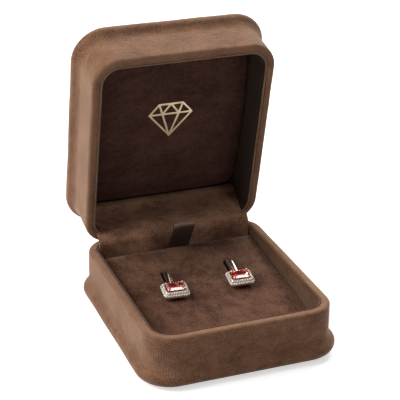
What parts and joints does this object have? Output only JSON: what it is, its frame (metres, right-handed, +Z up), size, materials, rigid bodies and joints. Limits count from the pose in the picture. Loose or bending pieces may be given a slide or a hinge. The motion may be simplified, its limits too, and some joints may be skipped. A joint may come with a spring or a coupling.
{
  "type": "earring box",
  "caption": "Hinged suede covered jewellery box with a rounded moulding, a padded lid and a sloping cushion that holds a pair of lever back halo earrings.",
  "frame": {"origin": "centre of the box's underside, on the foot pad's lower face", "axes": "+Z up, +X to the right as seen from the front, the lid's hinge at +Y and the front at -Y; drawn with the lid standing open"},
  "size_m": [0.08, 0.1077, 0.1124],
  "materials": {
    "outer_suede": "napped brown suede cloth",
    "lining_suede": "napped brown suede cloth",
    "panel_suede": "dark brown suede cloth, crowned over foam",
    "curtain_suede": "loose brown suede cloth",
    "ribbon": "dark folded ribbon",
    "foot_pad": "dark felt",
    "shell_board": "moulded board, covered on the outside",
    "card": "plain card",
    "foam": "soft open foam",
    "wood_block": "plain beech strip",
    "hinge_metal": "plain pressed steel",
    "spring_steel": "blue-grey spring steel",
    "gold_foil": "pressed gold foil lines",
    "earring_metal": "polished pale rose-white metal",
    "garnet": "deep red faceted stone",
    "clear_stone": "small clear faceted stones"
  },
  "bodies": {
    "base": {"base_shell": "shell_board", "base_suede_cover": "outer_suede", "base_liner": "lining_suede", "base_floor_lining": "lining_suede", "base_bottom_pad": "foot_pad", "hinge_block": "wood_block", "hinge_base_leaf": "hinge_metal", "hinge_base_screws": "hinge_metal", "hinge_pin": "hinge_metal", "hinge_snap_spring": "spring_steel", "hinge_curtain": "curtain_suede"},
    "lid": {"lid_shell": "shell_board", "lid_suede_cover": "outer_suede", "lid_liner": "lining_suede", "lid_spacer_frame": "card", "lid_panel_card": "card", "lid_panel_foam": "foam", "lid_panel_cover": "panel_suede", "lid_foil_ornament": "gold_foil", "hinge_lid_leaf": "hinge_metal", "hinge_lid_screws": "hinge_metal"},
    "insert": {"insert_platform": "card", "insert_foam": "foam", "insert_suede_cover": "lining_suede", "insert_pull_tab": "ribbon"},
    "earring_left": {"earring_left_setting": "earring_metal", "earring_left_centre_stone": "garnet", "earring_left_halo_stones": "clear_stone", "earring_left_hook": "earring_metal", "earring_left_lever_pin": "earring_metal"},
    "earring_right": {"earring_right_setting": "earring_metal", "earring_right_centre_stone": "garnet", "earring_right_halo_stones": "clear_stone", "earring_right_hook": "earring_metal", "earring_right_lever_pin": "earring_metal"},
    "earring_left_lever": {"earring_left_lever": "earring_metal"},
    "earring_right_lever": {"earring_right_lever": "earring_metal"}
  },
  "joints": [
    {"name": "lid_hinge", "type": "hinge", "parent": "base", "child": "lid", "pos_m": [0, 0.041, 0.02365], "axis": [1, 0, 0], "range_deg": [0, 77.6], "deforming": ["hinge_curtain", "insert_pull_tab"]},
    {"name": "insert_lift", "type": "slide", "parent": "base", "child": "insert", "axis": [0, 0, 1], "range_m": [0, 0.008]},
    {"name": "earring_left_lift", "type": "slide", "parent": "insert", "child": "earring_left", "axis": [0, 0, 1], "range_m": [0, 0.003]},
    {"name": "earring_right_lift", "type": "slide", "parent": "insert", "child": "earring_right", "axis": [0, 0, 1], "range_m": [0, 0.003]},
    {"name": "earring_left_lever_hinge", "type": "hinge", "parent": "earring_left", "child": "earring_left_lever", "pos_m": [-0.0132, 0.0001, 0.01455], "axis": [0.9969, -0.0785, 0], "range_deg": [-30, 0]},
    {"name": "earring_right_lever_hinge", "type": "hinge", "parent": "earring_right", "child": "earring_right_lever", "pos_m": [0.01443, 0.0009, 0.01464], "axis": [0.9986, -0.0523, 0], "range_deg": [-30, 0]}
  ]
}
